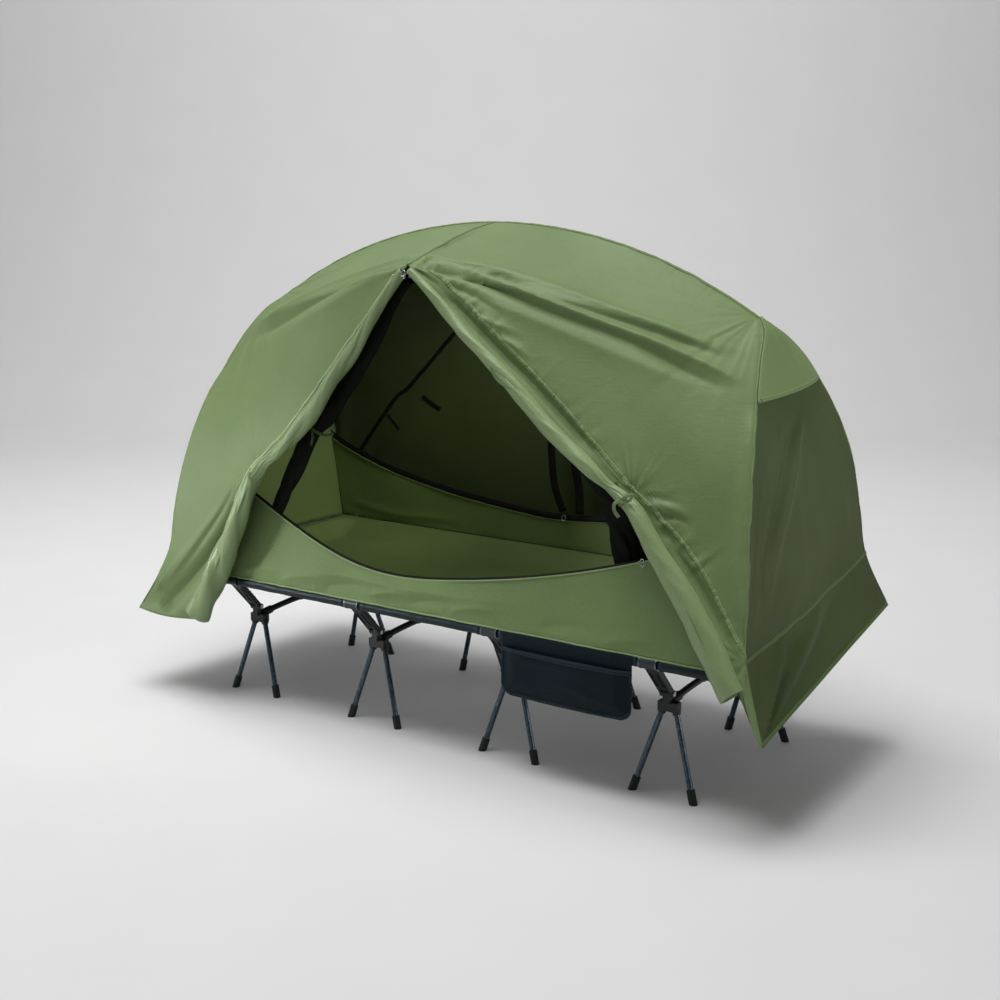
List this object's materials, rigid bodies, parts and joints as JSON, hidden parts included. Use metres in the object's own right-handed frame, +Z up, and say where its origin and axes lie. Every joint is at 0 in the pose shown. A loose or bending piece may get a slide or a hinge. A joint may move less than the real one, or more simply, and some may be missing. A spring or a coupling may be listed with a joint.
{
  "type": "camp cot with tent",
  "caption": "Folding camp cot on splayed tube legs with tension levers, carrying an inner tent and a rainfly on a bowed ridge pole and corner poles, its front door rolled open.",
  "frame": {"origin": "centre of the overall box on the plane that the feet stand on", "axes": "+X along the bed to its right-hand end seen from the door, -Y towards the door side, +Z up"},
  "size_m": [2.2356, 0.9098, 1.5158],
  "materials": {
    "fly_cloth": "olive green coated polyester, soft sheen",
    "tent_cloth": "olive green ripstop",
    "bed_cloth": "dark navy heavy weave",
    "pocket_cloth": "dark navy weave",
    "mesh": "black insect mesh",
    "rail_metal": "dark grey anodised",
    "leg_metal": "blue grey anodised",
    "pole_metal": "satin grey",
    "bright_metal": "bright satin",
    "black_plastic": "fine matt",
    "clamp_plastic": "fine satin",
    "foot_rubber": "matt"
  },
  "bodies": {
    "root": {"front_rail": "rail_metal", "back_rail": "rail_metal", "end_bars": "rail_metal", "corner_caps": "black_plastic", "rail_clamps": "clamp_plastic", "clamp_rings": "bright_metal", "crossbars": "rail_metal", "crossbar_ferrules": "black_plastic", "leg_hubs": "black_plastic", "hub_pins": "bright_metal", "cot_sheet": "bed_cloth", "side_pocket": "pocket_cloth", "ridge_pole": "pole_metal", "cross_pole": "pole_metal", "corner_poles": "pole_metal", "pole_hubs": "black_plastic", "inner_tent": "tent_cloth", "fly_sheet": "fly_cloth", "door_rolls": "fly_cloth", "mesh_rolls": "mesh"},
    "lever_1": {"lever_1": "black_plastic"},
    "lever_2": {"lever_2": "black_plastic"},
    "lever_3": {"lever_3": "black_plastic"},
    "lever_4": {"lever_4": "black_plastic"},
    "lever_5": {"lever_5": "black_plastic"},
    "lever_6": {"lever_6": "black_plastic"},
    "lever_7": {"lever_7": "black_plastic"},
    "lever_8": {"lever_8": "black_plastic"},
    "leg_1": {"leg_1": "leg_metal", "foot_1": "foot_rubber"},
    "leg_2": {"leg_2": "leg_metal", "foot_2": "foot_rubber"},
    "leg_3": {"leg_3": "leg_metal", "foot_3": "foot_rubber"},
    "leg_4": {"leg_4": "leg_metal", "foot_4": "foot_rubber"},
    "leg_5": {"leg_5": "leg_metal", "foot_5": "foot_rubber"},
    "leg_6": {"leg_6": "leg_metal", "foot_6": "foot_rubber"},
    "leg_7": {"leg_7": "leg_metal", "foot_7": "foot_rubber"},
    "leg_8": {"leg_8": "leg_metal", "foot_8": "foot_rubber"},
    "leg_9": {"leg_9": "leg_metal", "foot_9": "foot_rubber"},
    "leg_10": {"leg_10": "leg_metal", "foot_10": "foot_rubber"},
    "leg_11": {"leg_11": "leg_metal", "foot_11": "foot_rubber"},
    "leg_12": {"leg_12": "leg_metal", "foot_12": "foot_rubber"},
    "leg_13": {"leg_13": "leg_metal", "foot_13": "foot_rubber"},
    "leg_14": {"leg_14": "leg_metal", "foot_14": "foot_rubber"},
    "leg_15": {"leg_15": "leg_metal", "foot_15": "foot_rubber"},
    "leg_16": {"leg_16": "leg_metal", "foot_16": "foot_rubber"}
  },
  "joints": [
    {"name": "lever_1_swing", "type": "hinge", "parent": "root", "child": "lever_1", "pos_m": [-0.7575, -0.274, 0.288], "axis": [1, 0, 0], "range_deg": [0, 80]},
    {"name": "lever_2_swing", "type": "hinge", "parent": "root", "child": "lever_2", "pos_m": [-0.2525, -0.274, 0.288], "axis": [1, 0, 0], "range_deg": [0, 80]},
    {"name": "lever_3_swing", "type": "hinge", "parent": "root", "child": "lever_3", "pos_m": [0.2525, -0.274, 0.288], "axis": [1, 0, 0], "range_deg": [0, 80]},
    {"name": "lever_4_swing", "type": "hinge", "parent": "root", "child": "lever_4", "pos_m": [0.7575, -0.274, 0.288], "axis": [1, 0, 0], "range_deg": [0, 80]},
    {"name": "lever_5_swing", "type": "hinge", "parent": "root", "child": "lever_5", "pos_m": [-0.7575, 0.274, 0.288], "axis": [-1, 0, 0], "range_deg": [0, 80]},
    {"name": "lever_6_swing", "type": "hinge", "parent": "root", "child": "lever_6", "pos_m": [-0.2525, 0.274, 0.288], "axis": [-1, 0, 0], "range_deg": [0, 80]},
    {"name": "lever_7_swing", "type": "hinge", "parent": "root", "child": "lever_7", "pos_m": [0.2525, 0.274, 0.288], "axis": [-1, 0, 0], "range_deg": [0, 80]},
    {"name": "lever_8_swing", "type": "hinge", "parent": "root", "child": "lever_8", "pos_m": [0.7575, 0.274, 0.288], "axis": [-1, 0, 0], "range_deg": [0, 80]},
    {"name": "leg_1_pull", "type": "slide", "parent": "root", "child": "leg_1", "axis": [-0.2915, -0.1166, -0.9494], "range_m": [0, 0.045]},
    {"name": "leg_2_pull", "type": "slide", "parent": "root", "child": "leg_2", "axis": [0.2915, -0.1166, -0.9494], "range_m": [0, 0.045]},
    {"name": "leg_3_pull", "type": "slide", "parent": "root", "child": "leg_3", "axis": [-0.2915, -0.1166, -0.9494], "range_m": [0, 0.045]},
    {"name": "leg_4_pull", "type": "slide", "parent": "root", "child": "leg_4", "axis": [0.2915, -0.1166, -0.9494], "range_m": [0, 0.045]},
    {"name": "leg_5_pull", "type": "slide", "parent": "root", "child": "leg_5", "axis": [-0.2915, -0.1166, -0.9494], "range_m": [0, 0.045]},
    {"name": "leg_6_pull", "type": "slide", "parent": "root", "child": "leg_6", "axis": [0.2915, -0.1166, -0.9494], "range_m": [0, 0.045]},
    {"name": "leg_7_pull", "type": "slide", "parent": "root", "child": "leg_7", "axis": [-0.2915, -0.1166, -0.9494], "range_m": [0, 0.045]},
    {"name": "leg_8_pull", "type": "slide", "parent": "root", "child": "leg_8", "axis": [0.2915, -0.1166, -0.9494], "range_m": [0, 0.045]},
    {"name": "leg_9_pull", "type": "slide", "parent": "root", "child": "leg_9", "axis": [-0.2915, 0.1166, -0.9494], "range_m": [0, 0.045]},
    {"name": "leg_10_pull", "type": "slide", "parent": "root", "child": "leg_10", "axis": [0.2915, 0.1166, -0.9494], "range_m": [0, 0.045]},
    {"name": "leg_11_pull", "type": "slide", "parent": "root", "child": "leg_11", "axis": [-0.2915, 0.1166, -0.9494], "range_m": [0, 0.045]},
    {"name": "leg_12_pull", "type": "slide", "parent": "root", "child": "leg_12", "axis": [0.2915, 0.1166, -0.9494], "range_m": [0, 0.045]},
    {"name": "leg_13_pull", "type": "slide", "parent": "root", "child": "leg_13", "axis": [-0.2915, 0.1166, -0.9494], "range_m": [0, 0.045]},
    {"name": "leg_14_pull", "type": "slide", "parent": "root", "child": "leg_14", "axis": [0.2915, 0.1166, -0.9494], "range_m": [0, 0.045]},
    {"name": "leg_15_pull", "type": "slide", "parent": "root", "child": "leg_15", "axis": [-0.2915, 0.1166, -0.9494], "range_m": [0, 0.045]},
    {"name": "leg_16_pull", "type": "slide", "parent": "root", "child": "leg_16", "axis": [0.2915, 0.1166, -0.9494], "range_m": [0, 0.045]}
  ]
}
